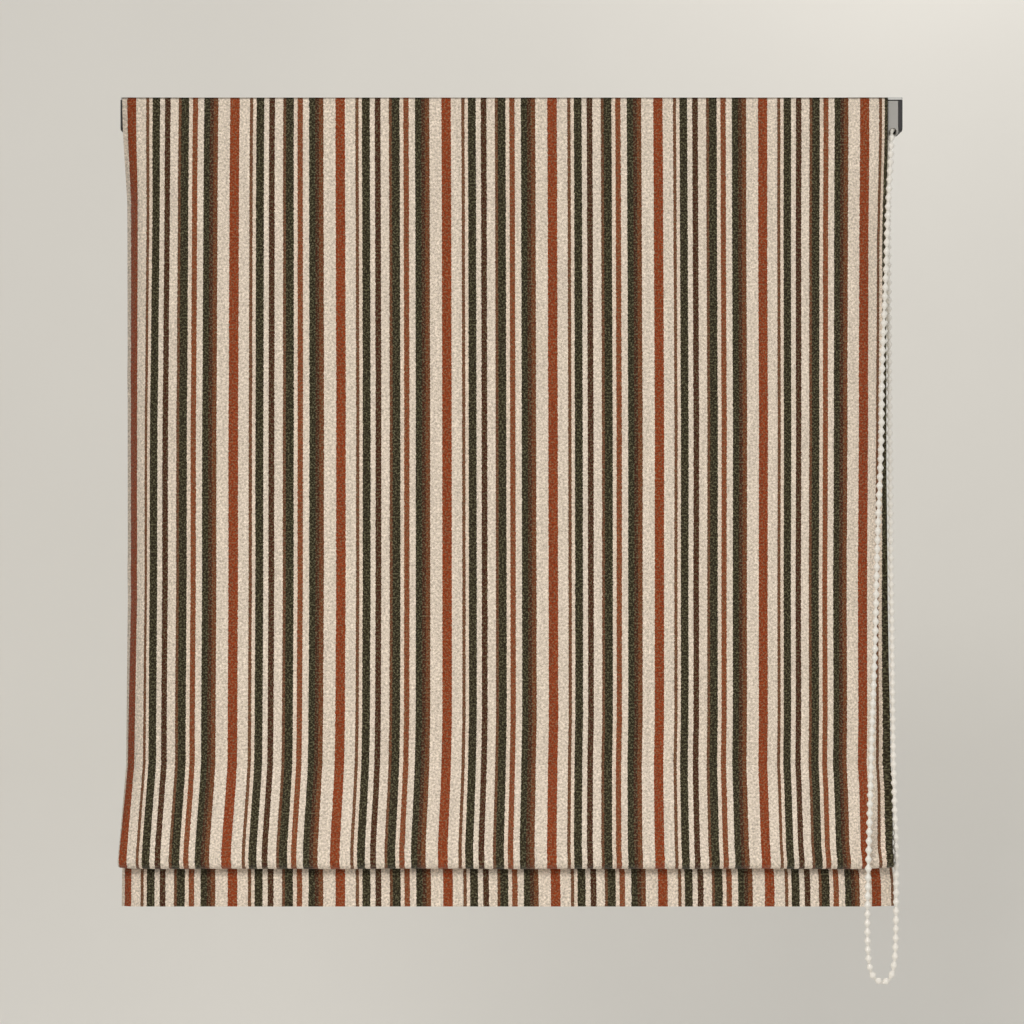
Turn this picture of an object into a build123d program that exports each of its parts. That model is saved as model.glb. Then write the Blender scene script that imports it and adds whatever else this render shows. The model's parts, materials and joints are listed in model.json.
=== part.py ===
from build123d import *

import os
from math import atan2, cos, hypot, pi, sin, tan

# A roman blind, part raised: a striped cloth on a headrail, with one fold at its foot, lifted by cords
# that wind on three spools. A bead chain turns the spools through a chain wheel at the right-hand end.
# Millimetres. Origin at the middle of the fixing plane on top of the head brackets. X runs to the
# right as seen from the room, -Y points into the room and Z up, so the whole blind lies below Z = 0.

# Cloth
cloth_width = 508.0
cloth_thickness = 1.3
cloth_top = -0.5
lining_thickness = 0.6
lining_gap = 0.2
side_margin = 4.0

# Heights of the cloth's features, and its back face's place in depth at each
panel_drop = 443.6
rod_pitch = 130.0
fold_depth = 27.2
fold_drop = 65.0
hem_show = 27.0
back_at_headrail = -12.5
back_below_headrail = -9.4
back_at_rods = (-7.5, -6.8, -6.5)
below_headrail = 90.0

# Headrail
rail_top = -3.4
rail_height = 20.0
rail_front = -10.0
rail_behind_cords = 5.9
rail_wall = 1.2
rail_lip = 3.2
rail_ear = 1.2
rail_ear_thickness = 1.0
end_cap_flange = 1.3
end_cap_plug = 8.0
end_cap_raise = 1.6

# Head brackets, which reach past the cloth at both ends
bracket_overhang = 6.0
bracket_width = 38.0
bracket_thickness = 1.6
cloth_setback = 1.9
bracket_hook = 1.0
bracket_hole_radius = 2.25
bracket_hole_spacing = 12.0
bracket_hole_inset = 16.0

# Shaft, spools and cords
shaft_z = -13.9
shaft_size = 5.0
shaft_clearance = 0.08
running_clearance = 0.06
cord_diameter = 1.2
spool_barrel_radius = 5.95
spool_flange_radius = 7.2
spool_length = 16.0
spool_flange = 1.2
journal_radius = 4.2
journal_length = 3.0
spool_inset = 50.0
bush_length = 9.8
turns_on_spool = 3
cradle_wall = 2.2
cradle_clearance = 0.15
cradle_base = 0.9
eyelet_radius = 1.4

# Bead chain and chain wheel
bead_pitch = 6.0
bead_radius = 2.2
thread_diameter = 1.2
wheel_pockets = 8
wheel_from_cover = 3.9
wheel_width = 5.2
wheel_rim = 0.6
wheel_disc = 1.3
pocket_clearance = 0.15
wheel_bore = 5.2

# Control housing
housing_width = 7.9
housing_wall = 1.0
housing_front = -12.2
housing_back = 12.5
housing_top = -2.4
housing_bottom = -24.3
housing_corner = 2.6
inner_plate = 1.2
slot_play = 0.9
end_plate_thickness = 2.5
end_plate_setback = 0.3
part_gap = 0.1
end_plate_top = -1.9
end_plate_bottom = -22.2

# Rods, pockets and rings
rod_radius = 2.0
rod_clearance = 0.3
rod_play = 1.0
pocket_wall = 0.5
pocket_margin = 8.0
stitch_gap = 0.1
ring_radius = 6.35
ring_wire = 2.0
stack_pitch = 9.5
toggle_radius = 5.2
toggle_height = 5.0
bar_width = 14.0
bar_thickness = 2.5
bar_inset = 6.0
bar_raise = 1.2
bar_cap_length = 3.0

# Hook and loop strips
strip_height = 14.0
strip_top = -6.0
strip_thickness = 1.2

bracket_end = cloth_width / 2 + bracket_overhang
cloth_left = -bracket_end + cloth_setback
cloth_right = cloth_left + cloth_width
cloth_middle = (cloth_left + cloth_right) / 2
hem_drop = panel_drop + fold_drop + hem_show
cord_radius = cord_diameter / 2
cord_y = spool_barrel_radius + 0.05 + cord_radius
rail_back = cord_y + rail_behind_cords
rail_bottom = rail_top - rail_height
rail_left = -bracket_end + end_cap_flange
end_plate_left = bracket_end - end_plate_setback - end_plate_thickness
housing_right = end_plate_left - part_gap
housing_left = housing_right - housing_width
wheel_x = housing_right - wheel_from_cover
rail_right = housing_left - part_gap
spool_places = (cloth_left + spool_inset, cloth_middle, cloth_right - spool_inset)
pocket_length = cloth_width - 2 * pocket_margin
rod_length = pocket_length - 2 * rod_play
bar_length = pocket_length - 2 * bar_inset
wheel_pitch_radius = wheel_pockets * bead_pitch / (2 * pi)
pocket_radius = rod_radius + rod_clearance + pocket_wall
rod_heights = [-panel_drop + rod_pitch * n for n in (2, 1, 0)]
pocket_places = [
    (y + lining_gap + lining_thickness + stitch_gap + pocket_radius, z)
    for y, z in zip(back_at_rods, rod_heights)
]
pocket_places.append((pocket_places[-1][0], pocket_places[-1][1] - stack_pitch))


def save(name, shape):
    export_step(shape, f"parts/{name}.step")


def block(x, y, z):
    """A box from three (low, high) pairs."""
    sizes = [high - low for low, high in (x, y, z)]
    middle = [(high + low) / 2 for low, high in (x, y, z)]
    return Pos(*middle) * Box(*sizes)


def rod_x(radius, x0, x1, y, z):
    return Pos((x0 + x1) / 2, y, z) * Rot(0, 90, 0) * Cylinder(radius, x1 - x0)


def tube_x(outer, inner, x0, x1, y, z):
    return rod_x(outer, x0, x1, y, z) - rod_x(inner, x0 - 1, x1 + 1, y, z)


def along_x(face, x0, x1):
    """A face drawn in Y and Z, made solid from x0 to x1."""
    return Pos(x0, 0, 0) * extrude(Plane.YZ * face, x1 - x0)


def group(shapes):
    return Compound(list(shapes))


def half_turn_tangent(before, at, after):
    """The length that a corner's arc takes from each run, for each millimetre of its radius."""
    first = Vector(*at) - Vector(*before)
    second = Vector(*after) - Vector(*at)
    return tan(first.get_angle(second) * pi / 360)


def corner_radius(before, at, after, share=0.45):
    """The radius whose arc takes this share of the corner's shorter run."""
    shorter = min(hypot(*(a - b for a, b in zip(at, end))) for end in (before, after))
    return share * shorter / half_turn_tangent(before, at, after)


# The cloth's back face as a line in (Y, Z), from the top down: panel, fold, turn at the fourth rod, flap
leg_lean = atan2(0.325, 0.9457)
apex_radius = 2.2
lining_depth = lining_gap + lining_thickness
back_up = Vector(sin(leg_lean), cos(leg_lean))
forward = Vector(-cos(leg_lean), sin(leg_lean))
apex = Vector(*pocket_places[3]) - back_up * (apex_radius + lining_depth + stitch_gap + pocket_radius)
front_leg_top = apex + forward * apex_radius + back_up * apex_radius
rear_leg_top = apex - forward * apex_radius + back_up * apex_radius
fold_bottom = -panel_drop - fold_drop
seam = Vector(back_at_rods[2], -panel_drop)
leg_foot = front_leg_top + back_up * ((fold_bottom - front_leg_top.Y) / back_up.Y)
fold_front = Vector(seam.X - fold_depth, fold_bottom)
flap_bend = rear_leg_top + back_up * ((fold_bottom - 7 - rear_leg_top.Y) / back_up.Y)
cloth_line = [
    (back_at_headrail, cloth_top),
    (back_at_headrail, rail_bottom - 3),
    (back_below_headrail, -below_headrail),
    (back_at_rods[0], rod_heights[0]),
    (back_at_rods[1], rod_heights[1]),
    (seam.X, seam.Y),
    (fold_front.X, fold_front.Y),
    (leg_foot.X, leg_foot.Y),
    (front_leg_top.X, front_leg_top.Y),
    (rear_leg_top.X, rear_leg_top.Y),
    (flap_bend.X, flap_bend.Y),
    (flap_bend.X - 1.2, -hem_drop),
]
# The fold's foot is two equal arcs that nearly meet, and so is the turn at the fourth rod
fold_radius = 0.98 * (leg_foot - fold_front).length / (
    half_turn_tangent(*cloth_line[5:8]) + half_turn_tangent(*cloth_line[6:9])
)
turn_radius = 0.995 * apex_radius
fixed_radii = {1: 60.0, 5: 9.0, 6: fold_radius, 7: fold_radius, 8: turn_radius, 9: turn_radius, 10: 10.0}
cloth_radii = [
    fixed_radii.get(i, corner_radius(*cloth_line[i - 1 : i + 2], share=0.3))
    for i in range(1, len(cloth_line) - 1)
]


def shifted(points, radii, distance):
    """The cloth's line moved towards its back by distance, with the radii that keep it parallel."""
    ways = [
        (Vector(*b) - Vector(*a)).normalized() for a, b in zip(points, points[1:])
    ]
    sides = [Vector(-way.Y, way.X) for way in ways]
    moved = [Vector(*points[0]) + sides[0] * distance]
    new_radii = []
    for i, radius in enumerate(radii):
        turn = ways[i].cross(ways[i + 1]).Z
        both = sides[i] + sides[i + 1]
        moved.append(Vector(*points[i + 1]) + both * (distance / (1 + sides[i].dot(sides[i + 1]))))
        new_radii.append(radius - distance if turn > 0 else radius + distance)
    moved.append(Vector(*points[-1]) + sides[-1] * distance)
    return [(p.X, p.Y) for p in moved], new_radii


def sheet_face(near, far, top):
    """The section of a sheet from top down, between two distances behind the cloth's line."""
    line = [(back_at_headrail, top), *cloth_line[1:]]
    first, first_radii = shifted(line, cloth_radii, near)
    second, second_radii = shifted(line, cloth_radii, far)
    one = FilletPolyline(*first, radius=first_radii)
    other = FilletPolyline(*second, radius=second_radii)
    ends = [Line(one @ 0, other @ 0), Line(one @ 1, other @ 1)]
    return make_face([one, other, *ends])


def cloth_and_lining():
    save("face_cloth", along_x(sheet_face(-cloth_thickness, 0, cloth_top), cloth_left, cloth_right))
    lining = sheet_face(lining_gap, lining_depth, strip_top)
    save("lining", along_x(lining, cloth_left + side_margin, cloth_right - side_margin))


def headrail():
    top_ears = block(
        (rail_left, rail_right),
        (rail_front - rail_ear, rail_back + rail_ear),
        (rail_top - rail_ear_thickness, rail_top),
    )
    body = block((rail_left, rail_right), (rail_front, rail_back), (rail_bottom, rail_top))
    inside = block(
        (rail_left - 1, rail_right + 1),
        (rail_front + rail_wall, rail_back - rail_wall),
        (rail_bottom + rail_wall, rail_top - rail_wall),
    )
    mouth = block(
        (rail_left - 1, rail_right + 1),
        (rail_front + rail_wall + rail_lip, rail_back - rail_wall - rail_lip),
        (rail_bottom - 1, rail_bottom + rail_wall + 1),
    )
    save("headrail", body + top_ears - inside - mouth)


def head_bracket(side):
    """A pressed top-fixing bracket: a plate with two screw holes, and hooks that hold the headrail's ears."""
    outer = side * bracket_end
    inner = side * (bracket_end - bracket_width)
    x = (min(outer, inner), max(outer, inner))
    hook_end = min(x[1], rail_right)
    hook_x = (max(x[0], rail_left), hook_end)
    front = rail_front - rail_ear - bracket_hook - 0.1
    back = rail_back + rail_ear + bracket_hook + 0.1
    under = rail_top - rail_ear_thickness - 0.1
    plate = block(x, (front, back), (-bracket_thickness, 0))
    plate = fillet(plate.edges().filter_by(Axis.Z), 2)
    legs = block(hook_x, (front, front + bracket_hook), (under - bracket_hook, -1))
    legs += block(hook_x, (back - bracket_hook, back), (under - bracket_hook, -1))
    legs += block(hook_x, (front, rail_front - 0.2), (under - bracket_hook, under))
    legs += block(hook_x, (rail_back + 0.2, back), (under - bracket_hook, under))
    bracket = plate + legs
    for step in (-0.5, 0.5):
        place = (side * (bracket_end - bracket_hole_inset), step * bracket_hole_spacing, 0)
        bracket -= Pos(*place) * Cylinder(bracket_hole_radius, 4 * bracket_thickness)
    return bracket


def plate_outline(front, back, bottom, top, corner):
    width, height = back - front, top - bottom
    face = Pos((front + back) / 2, (top + bottom) / 2) * Rectangle(width, height)
    return fillet(face.vertices().group_by(Axis.Y)[0], corner)


def ends():
    """The left end cap with its bush for the shaft, and the dark plate outside the control housing."""
    save("head_bracket_left", head_bracket(-1))
    save("head_bracket_right", head_bracket(1))
    outline = plate_outline(rail_front - 2, rail_back, rail_bottom + end_cap_raise, end_plate_top, 2)
    cap = along_x(outline, -bracket_end, rail_left)
    plug_gap = 0.15
    plug = block(
        (rail_left, rail_left + end_cap_plug),
        (rail_front + rail_wall + plug_gap, rail_back - rail_wall - plug_gap),
        (rail_bottom + rail_wall + plug_gap, rail_top - rail_wall - plug_gap),
    )
    cap += plug
    cap -= rod_x(journal_radius + running_clearance, rail_left + 2, rail_left + end_cap_plug + 1, 0, shaft_z)
    save("end_cap_left", cap)
    plate = plate_outline(housing_front, housing_back, end_plate_bottom, end_plate_top, housing_corner)
    save("end_plate_right", along_x(plate, end_plate_left, end_plate_left + end_plate_thickness))


wheel_right_face = wheel_x + wheel_width / 2
wheel_left_face = wheel_x - wheel_width / 2
rim_radius = wheel_pitch_radius + wheel_rim
disc_radius = wheel_pitch_radius + wheel_disc
post_radius = 3.5
coupler_inner = 4.5


def control_housing():
    """Two moulded shells round the chain wheel. The cover's foot lets both strands of chain out."""
    outline = plate_outline(housing_front, housing_back, housing_bottom, housing_top, housing_corner)
    split = housing_left + inner_plate
    cover = along_x(outline, split, housing_right)
    round_front = cover.edges().filter_by(Axis.Z).group_by(Axis.Y)[0].sort_by(Axis.X)[-1]
    cover = fillet(round_front, 0.9)
    hollow = plate_outline(
        housing_front + housing_wall,
        housing_back - housing_wall,
        housing_bottom + housing_wall,
        housing_top - housing_wall,
        housing_corner - housing_wall,
    )
    cover -= along_x(hollow, split - 1, housing_right - housing_wall)
    slot_x = (split + 0.2, housing_right - housing_wall - 0.2)
    arch_height = 3.4
    middle = sum(slot_x) / 2
    arch_radius = (slot_x[1] - slot_x[0]) / 2
    front_slot = block(slot_x, (housing_front - 1, -6.0), (housing_bottom - 1, housing_bottom + arch_height - 2))
    front_slot += (
        Pos(middle, (housing_front - 7) / 2, housing_bottom + arch_height - 2)
        * Rot(90, 0, 0)
        * Cylinder(arch_radius, -housing_front - 5)
    )
    rear_y = (wheel_pitch_radius - bead_radius - slot_play, wheel_pitch_radius + bead_radius + slot_play)
    rear_slot = block(slot_x, rear_y, (housing_bottom - 1, housing_bottom + 2))
    cover -= front_slot + rear_slot
    for y, z in screw_places:
        cover += rod_x(screw_radius + 1.0, split, housing_right - housing_wall / 2, y, z)
        cover -= rod_x(screw_radius, split - 1, housing_right - 2.5, y, z)
    save("control_housing_cover", cover)
    inner = along_x(outline, housing_left, split - 0.05)
    inner -= rod_x(wheel_bore + running_clearance - 0.1, housing_left - 1, split + 1, 0, shaft_z)
    for y, z in screw_places:
        inner -= rod_x(screw_radius + 0.1, housing_left - 1, split + 1, y, z)
    save("control_housing_inner", inner)
    screws = [
        rod_x(screw_radius - 0.05, housing_left - 0.05, housing_right - 2.6, y, z)
        for y, z in screw_places
    ]
    save("housing_screws", group(screws))
    post = rod_x(post_radius, split + 0.4, housing_right - housing_wall - 0.05, 0, shaft_z)
    save("clutch_post", post)


screw_radius = 0.9
screw_places = [(-8.9, -5.6), (9.2, -5.6)]


def wheel_drive():
    """The chain wheel, the coupler that it turns, and the wrap spring that holds the load on the post."""
    wheel = rod_x(disc_radius, wheel_left_face, wheel_right_face, 0, shaft_z)
    inside = bead_radius + 0.05
    wheel -= tube_x(disc_radius + 1, rim_radius, wheel_x - inside, wheel_x + inside, 0, shaft_z)
    groove = thread_diameter / 2 + 0.3
    groove_floor = wheel_pitch_radius - thread_diameter / 2 - 0.2
    wheel -= tube_x(disc_radius + 1, groove_floor, wheel_x - groove, wheel_x + groove, 0, shaft_z)
    wheel -= rod_x(wheel_bore, wheel_left_face - 1, wheel_right_face + 1, 0, shaft_z)
    for n in range(wheel_pockets):
        angle = 2 * pi * n / wheel_pockets
        y = wheel_pitch_radius * sin(angle)
        z = shaft_z + wheel_pitch_radius * cos(angle)
        wheel -= Pos(wheel_x, y, z) * Sphere(bead_radius + pocket_clearance)
    save("chain_wheel", wheel)

    sleeve = wheel_bore - 0.04
    coupler = rod_x(sleeve, rail_right - 7, wheel_right_face - 0.2, 0, shaft_z)
    coupler -= rod_x(coupler_inner, housing_left + inner_plate, wheel_right_face, 0, shaft_z)
    socket = shaft_size / 2 + shaft_clearance
    coupler -= block(
        (rail_right - 8, rail_right - 0.6), (-socket, socket), (shaft_z - socket, shaft_z + socket)
    )
    save("drive_coupler", coupler)

    wire = 0.55
    spring_inner = post_radius + 0.05
    spring = tube_x(
        spring_inner + wire, spring_inner, housing_left + inner_plate + 0.6, wheel_right_face - 0.6, 0, shaft_z
    )
    for n in range(4):
        x = wheel_left_face + 0.9 + n * 0.95
        spring -= tube_x(spring_inner + 2, spring_inner + wire / 2, x, x + 0.3, 0, shaft_z)
    save("wrap_spring", spring)


def shaft_and_spools():
    half = shaft_size / 2
    left = rail_left + 2.2
    shaft = block((left, rail_right - 0.8), (-half, half), (shaft_z - half, shaft_z + half))
    save("drive_shaft", shaft)
    socket = half + shaft_clearance
    bush = rod_x(journal_radius, left, left + bush_length, 0, shaft_z)
    bush -= block((left - 1, left + bush_length + 1), (-socket, socket), (shaft_z - socket, shaft_z + socket))
    save("shaft_bush", bush)
    for name, x in zip(("left", "middle", "right"), spool_places):
        ends_x = (x - spool_length / 2, x + spool_length / 2)
        spool = rod_x(spool_barrel_radius, *ends_x, 0, shaft_z)
        spool += rod_x(spool_flange_radius, ends_x[0] - spool_flange, ends_x[0], 0, shaft_z)
        spool += rod_x(spool_flange_radius, ends_x[1], ends_x[1] + spool_flange, 0, shaft_z)
        reach = spool_flange + journal_length
        spool += rod_x(journal_radius, ends_x[0] - reach, ends_x[1] + reach, 0, shaft_z)
        spool -= block(
            (ends_x[0] - reach - 1, ends_x[1] + reach + 1),
            (-socket, socket),
            (shaft_z - socket, shaft_z + socket),
        )
        save(f"cord_spool_{name}", spool)
        turns_start = x + cord_radius + 0.2
        turns = tube_x(
            spool_barrel_radius + cord_diameter,
            spool_barrel_radius + 0.03,
            turns_start,
            turns_start + turns_on_spool * cord_diameter,
            0,
            shaft_z,
        )
        save(f"cord_turns_{name}", turns)
        save(f"spool_cradle_{name}", cradle(x))
        cord_bottom = pocket_places[3][1] - ring_wire / 2 - toggle_height + 1
        height = shaft_z - cord_bottom
        cord = Pos(x, cord_y, cord_bottom + height / 2) * Cylinder(cord_radius, height)
        save(f"lift_cord_{name}", cord)


def cradle(x):
    """An open-topped cradle that clips into the headrail, with journal slots and an eyelet for the cord."""
    inside = spool_length / 2 + spool_flange + 0.4
    ends_x = (x - inside - cradle_wall, x + inside + cradle_wall)
    y = (rail_front + rail_wall + cradle_clearance, rail_back - rail_wall - cradle_clearance)
    z = (rail_bottom + rail_wall + cradle_clearance, rail_top - rail_wall - cradle_clearance)
    body = block(ends_x, y, z)
    body -= block((x - inside, x + inside), (y[0] - 1, y[1] + 1), (z[0] + cradle_base, z[1] + 1))
    reach = journal_radius + running_clearance
    body -= rod_x(reach, ends_x[0] - 1, ends_x[1] + 1, 0, shaft_z)
    body -= block((ends_x[0] - 1, ends_x[1] + 1), (-reach, reach), (shaft_z, z[1] + 1))
    body -= Pos(x, cord_y, z[0]) * Cylinder(eyelet_radius, 4 * cradle_base)
    return body


def rods_and_rings():
    middle = cloth_middle
    for n, (y, z) in enumerate(pocket_places, start=1):
        half = pocket_length / 2
        inner = rod_radius + rod_clearance
        save(f"rod_pocket_{n}", tube_x(pocket_radius, inner, middle - half, middle + half, y, z))
        half = rod_length / 2
        rest = z - rod_clearance + 0.05
        save(f"batten_rod_{n}", rod_x(rod_radius, middle - half, middle + half, y, rest))
        ring_y = y + pocket_radius + stitch_gap + ring_radius
        ring = Cylinder(ring_radius, ring_wire) - Cylinder(ring_radius - ring_wire, 2 * ring_wire)
        save(f"lift_rings_{n}", group(Pos(x, ring_y, z) * ring for x in spool_places))
    y, z = pocket_places[3]
    toggle = Cylinder(toggle_radius, toggle_height) - Cylinder(cord_radius + 0.05, 2 * toggle_height)
    toggle_z = z - ring_wire / 2 - 0.1 - toggle_height / 2
    save("cord_toggles", group(Pos(x, cord_y, toggle_z) * toggle for x in spool_places))


def hem():
    """The bottom bar in a flat pocket behind the hem, leaning with the flap."""
    line, _ = shifted(cloth_line[-2:], [], lining_depth + stitch_gap)
    foot = Vector(*line[1])
    way = (Vector(*line[0]) - foot).normalized()
    behind = Vector(way.Y, -way.X)
    slack = 0.2
    thick = bar_thickness + 2 * (slack + pocket_wall)
    wide = bar_width + 2 * (slack + pocket_wall)
    centre = foot + way * (bar_raise + wide / 2) + behind * thick / 2
    lean = atan2(-way.X, way.Y) * 180 / pi

    def lath(width, thickness, length):
        start = cloth_middle - length / 2
        return along_x(Pos(centre.X, centre.Y) * Rot(0, 0, lean) * Rectangle(thickness, width), start, start + length)

    pocket = lath(wide, thick, pocket_length)
    pocket -= lath(wide - 2 * pocket_wall, thick - 2 * pocket_wall, pocket_length + 4)
    save("hem_pocket", pocket)
    save("bottom_bar", lath(bar_width, bar_thickness, bar_length))
    reach = bar_length / 2 + bar_cap_length / 2
    cap = lath(bar_width, bar_thickness, bar_cap_length)
    save("bottom_bar_caps", group([Pos(-reach, 0, 0) * cap, Pos(reach, 0, 0) * cap]))


def strips():
    x = (rail_left + 2, rail_right - 2)
    z = (strip_top - strip_height, strip_top)
    save("hook_strip", block(x, (rail_front - strip_thickness, rail_front), z))
    loop_front = back_at_headrail + lining_depth
    x = (cloth_left + side_margin, cloth_right - side_margin)
    save("loop_strip", block(x, (loop_front, rail_front - strip_thickness), z))


# The chain's route, chosen by hand: from the top of the wheel down in front of the cloth and back up.
# Each point's first number is how far to the right of the wheel it lies
wheel_top = shaft_z + wheel_pitch_radius
thread_join = 0.1
chain_points = [
    (0, -thread_join, wheel_top),
    (0, -7.15, wheel_top),
    (0, -8.3, -21.5),
    (-0.3, -12.4, -31.5),
    (-1.5, -16.8, -47.0),
    (-3.4, -17.4, -76.0),
    (-4.3, -17.8, -112.0),
    (-6.4, -18.4, -150.0),
    (-8, -18.9, -190.0),
    (-8.8, -20.0, -232.0),
    (-11.3, -21.6, -276.0),
    (-12.9, -24.0, -322.0),
    (-14.3, -27.6, -368.0),
    (-17.2, -32.4, -412.0),
    (-18.8, -36.6, -456.0),
    (-20.4, -38.2, -502.0),
    (-21, -37.2, -540.0),
    (-20.2, -34.8, -565.0),
    (-18, -33.2, -577.4),
    (-14.8, -31.8, -583.0),
    (-10.6, -30.2, -585.9),
    (-6.2, -28.4, -586.0),
    (-3, -27.6, -582.8),
    (-0.9, -27.2, -577.0),
    (0.3, -26.8, -566.6),
    (0.8, -26.6, -548.0),
    (0.9, -26.4, -520.0),
    (0.6, -22.2, -488.0),
    (0.4, -15.4, -444.0),
    (0.2, -11.0, -400.0),
    (0.3, -7.8, -354.0),
    (0, -5.0, -306.0),
    (0.1, -2.6, -256.0),
    (-0.2, 0.0, -204.0),
    (0, 2.8, -152.0),
    (-0.1, 5.2, -100.0),
    (0, wheel_pitch_radius, -52.0),
    (0, wheel_pitch_radius, wheel_top),
    (0, thread_join, wheel_top),
]
chain_route = [(wheel_x + along, y, z) for along, y, z in chain_points]


def route_radii():
    """The wheel's own radius at its corners, and elsewhere the largest that the two runs allow."""
    radii = [corner_radius(*chain_route[i - 1 : i + 2]) for i in range(1, len(chain_route) - 1)]
    radii[0] = corner_radius(*chain_route[:3], share=0.99)
    radii[-1] = corner_radius(*chain_route[-3:], share=0.99)
    return radii


def bead():
    """A bead with few faces: a hexagonal drum that narrows to its thread at both ends."""
    middle, end = 0.95 * bead_radius, 0.45 * bead_radius
    half, shoulder = 0.87 * bead_radius, 0.32 * bead_radius
    section = [(end, -half), (middle, -shoulder), (middle, shoulder), (end, half)]
    rings = [Pos(0, 0, z) * RegularPolygon(radius, 6) for radius, z in section]
    return loft(rings, ruled=True)


def chain():
    radii = route_radii()
    print("chain radii", [round(radius, 1) for radius in radii])
    line = FilletPolyline(*chain_route, radius=radii)
    thread_radius = thread_diameter / 2
    start = Plane(line @ 0, z_dir=line % 0)
    thread = sweep(start * Circle(thread_radius), path=line)
    print("chain length", round(line.length, 2), "solid", round(thread.volume / (pi * thread_radius**2), 2))
    save("chain_thread", thread)
    count = round(line.length / bead_pitch)
    step = line.length / count
    print("beads", count, "pitch", round(step, 3))
    one = bead()
    beads = []
    for n in range(count):
        place = line.position_at(n * step, position_mode=PositionMode.LENGTH)
        way = line.tangent_at(n * step, position_mode=PositionMode.LENGTH)
        beads.append(Plane(place, x_dir=(1, 0, 0), z_dir=way).location * one)
    save("chain_beads", group(beads))


os.makedirs("parts", exist_ok=True)
cloth_and_lining()
headrail()
ends()
control_housing()
wheel_drive()
shaft_and_spools()
rods_and_rings()
hem()
strips()
chain()
line_length = FilletPolyline(*cloth_line, radius=cloth_radii).length
print("cloth drop", round(line_length, 1))
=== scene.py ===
"""A roman blind with one fold at its foot: striped woven cloth, a headrail and a bead chain.

The cloth's, the cords' and the chain's own sizes are in millimetres, and go through mm() or a
factor of 0.001.
"""

import json
import math
import random
from bisect import bisect_right
from functools import lru_cache

import bpy
import numpy as np
from mathutils import Matrix, Vector


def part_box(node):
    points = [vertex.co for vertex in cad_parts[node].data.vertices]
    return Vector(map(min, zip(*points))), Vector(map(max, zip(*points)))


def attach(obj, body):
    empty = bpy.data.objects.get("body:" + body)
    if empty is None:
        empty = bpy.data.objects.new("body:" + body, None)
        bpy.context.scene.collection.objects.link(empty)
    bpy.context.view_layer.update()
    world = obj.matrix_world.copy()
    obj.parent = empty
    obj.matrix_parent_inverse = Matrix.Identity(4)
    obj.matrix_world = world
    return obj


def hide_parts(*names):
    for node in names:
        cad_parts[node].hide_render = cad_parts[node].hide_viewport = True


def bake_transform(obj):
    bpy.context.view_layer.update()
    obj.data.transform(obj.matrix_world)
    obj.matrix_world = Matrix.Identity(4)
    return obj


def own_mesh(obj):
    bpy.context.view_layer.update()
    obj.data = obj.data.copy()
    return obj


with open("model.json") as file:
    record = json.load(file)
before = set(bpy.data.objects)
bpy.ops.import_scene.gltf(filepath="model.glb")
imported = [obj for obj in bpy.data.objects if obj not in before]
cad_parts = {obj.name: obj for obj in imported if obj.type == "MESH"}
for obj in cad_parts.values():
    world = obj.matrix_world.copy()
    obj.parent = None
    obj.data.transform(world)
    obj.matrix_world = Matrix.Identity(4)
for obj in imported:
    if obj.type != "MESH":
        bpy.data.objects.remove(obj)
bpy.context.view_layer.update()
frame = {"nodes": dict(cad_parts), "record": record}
random.seed(7)


def mm(*values):
    return tuple(value * 0.001 for value in values)


# Camera: 1.45 m in front of the cloth, level, centred on the photograph's frame

camera = bpy.data.cameras.new("camera")
camera.sensor_width = 36.0
camera.lens = 76.8
camera_object = bpy.data.objects.new("camera", camera)
bpy.context.collection.objects.link(camera_object)
camera_object.location = mm(0.2, -1463.8, -275.6)
camera_object.rotation_euler = (math.pi / 2, 0, 0)
bpy.context.scene.camera = camera_object
bpy.context.scene.view_settings.view_transform = "Standard"


# Materials


class Shader:
    """A material's node tree, with short calls for the nodes that these materials share."""

    def __init__(self, name):
        self.material = bpy.data.materials.new(name)
        self.material.use_nodes = True
        self.tree = self.material.node_tree
        self.surface = self.tree.nodes["Principled BSDF"]

    def add(self, kind, inputs=(), **settings):
        node = self.tree.nodes.new("ShaderNode" + kind)
        for key, value in settings.items():
            setattr(node, key, value)
        for key, value in dict(inputs).items():
            if isinstance(value, bpy.types.NodeSocket):
                self.tree.links.new(value, node.inputs[key])
            else:
                node.inputs[key].default_value = value
        return node

    def math(self, operation, a, b=0.0, c=0.0):
        return self.add("Math", {0: a, 1: b, 2: c}, operation=operation).outputs[0]

    def noise(self, vector, scale, detail=2.0, roughness=0.5):
        values = {"Vector": vector, "Scale": scale, "Detail": detail, "Roughness": roughness}
        return self.add("TexNoise", values).outputs["Fac"]

    def remap(self, value, low, high, new_low, new_high):
        values = {0: value, 1: low, 2: high, 3: new_low, 4: new_high}
        return self.add("MapRange", values).outputs[0]

    def times(self, color, factor):
        """A colour made lighter or darker by a factor that varies over the surface."""
        grey = self.add("CombineColor", {0: factor, 1: factor, 2: factor}).outputs[0]
        mix = self.add("Mix", {0: 1.0, 6: color, 7: grey}, data_type="RGBA", blend_type="MULTIPLY")
        return mix.outputs[2]

    def mixed(self, factor, first, second):
        return self.add("Mix", {0: factor, 6: first, 7: second}, data_type="RGBA").outputs[2]

    def bump(self, height, distance, strength=1.0):
        node = self.add("Bump", {"Height": height, "Distance": distance, "Strength": strength})
        self.plug("Normal", node.outputs[0])

    def plug(self, socket, output):
        self.tree.links.new(output, self.surface.inputs[socket])

    def set(self, **values):
        for key, value in values.items():
            socket = key.replace("_", " ").title().replace("Ior", "IOR")
            self.surface.inputs[socket].default_value = value


def linear(red, green, blue):
    """A colour as an image shows it, from 0 to 255, as the shader's linear value."""

    def one(value):
        value /= 255
        return value / 12.92 if value <= 0.04045 else ((value + 0.055) / 1.055) ** 2.4

    return (one(red), one(green), one(blue), 1.0)


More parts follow.
